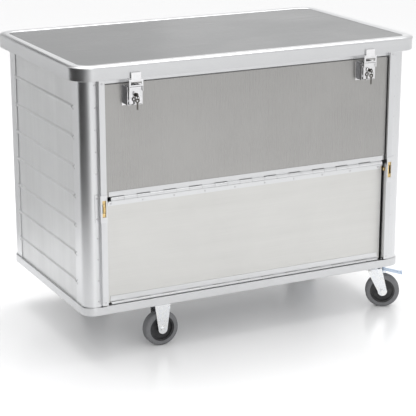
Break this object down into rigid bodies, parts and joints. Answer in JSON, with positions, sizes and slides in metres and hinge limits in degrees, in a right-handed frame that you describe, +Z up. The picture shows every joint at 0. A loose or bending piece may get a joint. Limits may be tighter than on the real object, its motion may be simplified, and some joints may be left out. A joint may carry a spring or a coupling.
{
  "type": "housekeeping cart",
  "caption": "Closed aluminium housekeeping cart: hinged lid, two-part drop front with toggle latches and locks, swivel and fixed castors.",
  "frame": {"origin": "centre of the footprint, on the ground", "axes": "+X towards the swivel castor end (length), +Y towards the rear lid hinge (the drop front faces -Y), +Z up"},
  "size_m": [1.31, 0.8005, 1.017],
  "materials": {
    "profile": "satin anodised aluminium profile",
    "wall_sheet": "mill-finish aluminium sheet",
    "panel_sheet": "fine brushed aluminium sheet",
    "flap_sheet": "brushed aluminium sheet",
    "lid_sheet": "brushed aluminium sheet",
    "zinc": "bright zinc plated",
    "latch_steel": "satin chrome plated",
    "key_steel": "nickel plated",
    "brass": "plain brass",
    "rivet": "plain",
    "wheel_plastic": "black moulded",
    "tyre": "grey solid rubber"
  },
  "bodies": {
    "root": {"bottom_rim": "profile", "floor_plate": "panel_sheet", "castor_rails": "profile", "front_corner_posts": "profile", "rear_corner_posts": "profile", "guide_strips": "profile", "side_sheets": "wall_sheet", "rear_sheet": "wall_sheet", "top_rim": "profile", "front_rail": "profile", "lid_hinge_bases": "profile", "lid_hinge_pins": "zinc", "panel_hinge_base": "profile", "panel_hinge_pin": "zinc", "catch_plates": "profile", "catch_guides": "brass", "latch_keepers": "latch_steel", "fixed_castor_forks": "zinc", "fixed_castor_axles": "zinc", "swivel_castor_plates": "zinc", "castor_bolts": "zinc", "frame_rivets": "rivet"},
    "lid": {"lid_frame": "profile", "lid_sheet": "lid_sheet", "lid_hinge_leaves": "profile"},
    "front_panel": {"lower_panel": "panel_sheet", "panel_hinge_leaf": "profile", "mid_hinge_lower_leaf": "profile", "lower_panel_rivets": "rivet", "mid_hinge_pin": "zinc"},
    "flap": {"upper_flap": "flap_sheet", "mid_hinge_upper_leaf": "profile", "latch_bases": "latch_steel", "latch_pins": "latch_steel"},
    "lever_left": {"latch_lever_left": "latch_steel"},
    "bail_left": {"latch_bail_left": "latch_steel"},
    "lock_left": {"lock_core_left": "latch_steel", "lock_key_left": "key_steel"},
    "spare_key_left": {"spare_key_left": "key_steel"},
    "catch_left": {"catch_bolt_left": "brass"},
    "lever_right": {"latch_lever_right": "latch_steel"},
    "bail_right": {"latch_bail_right": "latch_steel"},
    "lock_right": {"lock_core_right": "latch_steel", "lock_key_right": "key_steel"},
    "spare_key_right": {"spare_key_right": "key_steel"},
    "catch_right": {"catch_bolt_right": "brass"},
    "castor_front": {"swivel_fork_front": "zinc", "swivel_axle_front": "zinc"},
    "brake_pedal_front": {"brake_pedal_front": "zinc"},
    "swivel_wheel_front": {"swivel_wheel_core_front": "wheel_plastic", "swivel_tyre_front": "tyre"},
    "fixed_wheel_front": {"fixed_wheel_core_front": "wheel_plastic", "fixed_tyre_front": "tyre"},
    "castor_rear": {"swivel_fork_rear": "zinc", "swivel_axle_rear": "zinc"},
    "brake_pedal_rear": {"brake_pedal_rear": "zinc"},
    "swivel_wheel_rear": {"swivel_wheel_core_rear": "wheel_plastic", "swivel_tyre_rear": "tyre"},
    "fixed_wheel_rear": {"fixed_wheel_core_rear": "wheel_plastic", "fixed_tyre_rear": "tyre"}
  },
  "joints": [
    {"name": "lid_hinge", "type": "hinge", "parent": "root", "child": "lid", "pos_m": [0, 0.3905, 1.003], "axis": [-1, 0, 0], "range_deg": [0, 100]},
    {"name": "front_panel_hinge", "type": "hinge", "parent": "root", "child": "front_panel", "pos_m": [0, -0.3455, 0.1988], "axis": [1, 0, 0], "range_deg": [0, 90]},
    {"name": "flap_hinge", "type": "hinge", "parent": "front_panel", "child": "flap", "pos_m": [0, -0.353, 0.564], "axis": [1, 0, 0], "range_deg": [0, 165]},
    {"name": "latch_lever_left", "type": "hinge", "parent": "flap", "child": "lever_left", "pos_m": [-0.445, -0.37, 0.932], "axis": [-1, 0, 0], "range_deg": [0, 50]},
    {"name": "latch_bail_left", "type": "hinge", "parent": "lever_left", "child": "bail_left", "pos_m": [-0.445, -0.37, 0.9265], "axis": [1, 0, 0], "range_deg": [0, 50]},
    {"name": "lock_turn_left", "type": "hinge", "parent": "lever_left", "child": "lock_left", "pos_m": [-0.445, -0.383, 0.913], "axis": [0, -1, 0], "range_deg": [0, 90]},
    {"name": "spare_key_swing_left", "type": "hinge", "parent": "lock_left", "child": "spare_key_left", "pos_m": [-0.445, -0.397, 0.9113], "axis": [-1, 0, 0], "range_deg": [-8, 20]},
    {"name": "catch_slide_left", "type": "slide", "parent": "root", "child": "catch_left", "axis": [-1, 0, 0], "range_m": [0, 0.006], "stiffness_N_per_m": 500, "springref_m": -0.004},
    {"name": "latch_lever_right", "type": "hinge", "parent": "flap", "child": "lever_right", "pos_m": [0.445, -0.37, 0.932], "axis": [-1, 0, 0], "range_deg": [0, 50]},
    {"name": "latch_bail_right", "type": "hinge", "parent": "lever_right", "child": "bail_right", "pos_m": [0.445, -0.37, 0.9265], "axis": [1, 0, 0], "range_deg": [0, 50]},
    {"name": "lock_turn_right", "type": "hinge", "parent": "lever_right", "child": "lock_right", "pos_m": [0.445, -0.383, 0.913], "axis": [0, -1, 0], "range_deg": [0, 90]},
    {"name": "spare_key_swing_right", "type": "hinge", "parent": "lock_right", "child": "spare_key_right", "pos_m": [0.445, -0.397, 0.9113], "axis": [-1, 0, 0], "range_deg": [-8, 20]},
    {"name": "catch_slide_right", "type": "slide", "parent": "root", "child": "catch_right", "axis": [1, 0, 0], "range_m": [0, 0.006], "stiffness_N_per_m": 500, "springref_m": -0.004},
    {"name": "castor_swivel_front", "type": "hinge", "parent": "root", "child": "castor_front", "pos_m": [0.542, -0.296, 0.15], "axis": [0, 0, 1], "continuous": true},
    {"name": "swivel_wheel_spin_front", "type": "hinge", "parent": "castor_front", "child": "swivel_wheel_front", "pos_m": [0.57491, -0.315, 0.0625], "axis": [0.5, 0.866, 0], "continuous": true},
    {"name": "brake_pedal_front", "type": "hinge", "parent": "castor_front", "child": "brake_pedal_front", "pos_m": [0.57837, -0.317, 0.14], "axis": [0.5, 0.866, 0], "range_deg": [0, 12]},
    {"name": "fixed_wheel_spin_front", "type": "hinge", "parent": "root", "child": "fixed_wheel_front", "pos_m": [-0.325, -0.296, 0.0625], "axis": [0, 1, 0], "continuous": true},
    {"name": "castor_swivel_rear", "type": "hinge", "parent": "root", "child": "castor_rear", "pos_m": [0.542, 0.296, 0.15], "axis": [0, 0, 1], "continuous": true},
    {"name": "swivel_wheel_spin_rear", "type": "hinge", "parent": "castor_rear", "child": "swivel_wheel_rear", "pos_m": [0.57887, 0.28681, 0.0625], "axis": [0.2419, 0.9703, 0], "continuous": true},
    {"name": "brake_pedal_rear", "type": "hinge", "parent": "castor_rear", "child": "brake_pedal_rear", "pos_m": [0.58275, 0.28584, 0.14], "axis": [0.2419, 0.9703, 0], "range_deg": [0, 12]},
    {"name": "fixed_wheel_spin_rear", "type": "hinge", "parent": "root", "child": "fixed_wheel_rear", "pos_m": [-0.325, 0.296, 0.0625], "axis": [0, 1, 0], "continuous": true}
  ],
  "couplings": [
    {"joint": "latch_bail_left", "follows": "latch_lever_left", "ratio": 1},
    {"joint": "latch_bail_right", "follows": "latch_lever_right", "ratio": 1}
  ]
}
